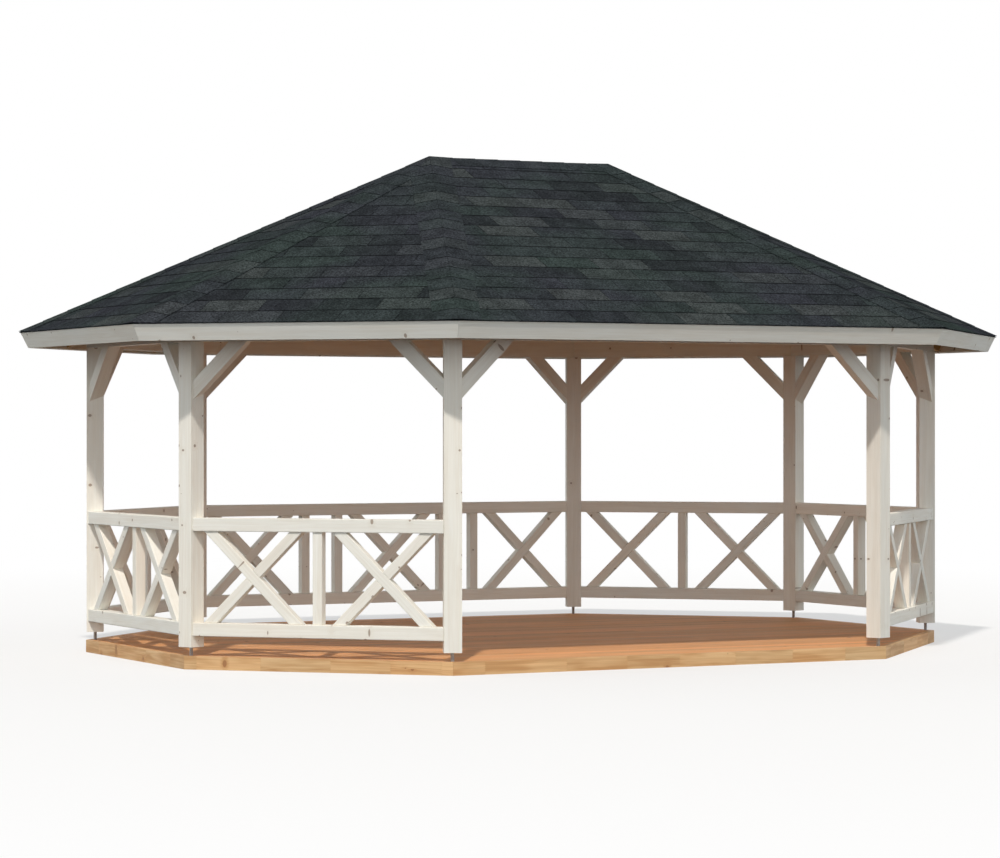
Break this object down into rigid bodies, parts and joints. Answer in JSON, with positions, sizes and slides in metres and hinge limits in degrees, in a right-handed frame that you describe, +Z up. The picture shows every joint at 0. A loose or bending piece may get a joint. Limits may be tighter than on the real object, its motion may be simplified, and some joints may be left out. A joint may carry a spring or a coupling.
{
  "type": "garden gazebo",
  "caption": "Open elongated eight-sided timber garden gazebo with X-braced railings, knee-braced posts on steel pins, a low floor and a hipped shingle roof.",
  "frame": {"origin": "on the ground under the middle of the floor", "axes": "+X along the ridge, +Z up, -Y out of the open side, the way in"},
  "size_m": [7.0594, 5.5544, 3.6474],
  "materials": {
    "white_glaze": "thin white glaze on softwood, grain and knots showing",
    "floor_wood": "oiled reddish-brown boards",
    "rim_wood": "finger-jointed softwood, clear oiled",
    "pine": "bare planed softwood",
    "steel": "dull galvanised",
    "shingle": "mineral-surfaced bitumen, matt"
  },
  "bodies": {
    "root": {"floor_boards": "floor_wood", "floor_joists": "rim_wood", "floor_rim": "rim_wood", "post_feet": "steel", "post_front_right": "white_glaze", "post_right_front": "white_glaze", "post_right_back": "white_glaze", "post_back_right": "white_glaze", "post_back_left": "white_glaze", "post_left_back": "white_glaze", "post_left_front": "white_glaze", "post_front_left": "white_glaze", "beam_front": "white_glaze", "beam_front_right": "white_glaze", "beam_right": "white_glaze", "beam_back_right": "white_glaze", "beam_back": "white_glaze", "beam_back_left": "white_glaze", "beam_left": "white_glaze", "beam_front_left": "white_glaze", "braces_front": "white_glaze", "braces_front_right": "white_glaze", "braces_right": "white_glaze", "braces_back_right": "white_glaze", "braces_back": "white_glaze", "braces_back_left": "white_glaze", "braces_left": "white_glaze", "braces_front_left": "white_glaze", "railing_front_right": "white_glaze", "railing_right": "white_glaze", "railing_back_right": "white_glaze", "railing_back": "white_glaze", "railing_back_left": "white_glaze", "railing_left": "white_glaze", "railing_front_left": "white_glaze", "ridge_board": "white_glaze", "ridge_blocks": "white_glaze", "hip_rafters": "white_glaze", "common_rafters": "white_glaze", "roof_boards": "pine", "shingles": "shingle", "roof_caps": "shingle", "fascia": "white_glaze"}
  },
  "joints": []
}
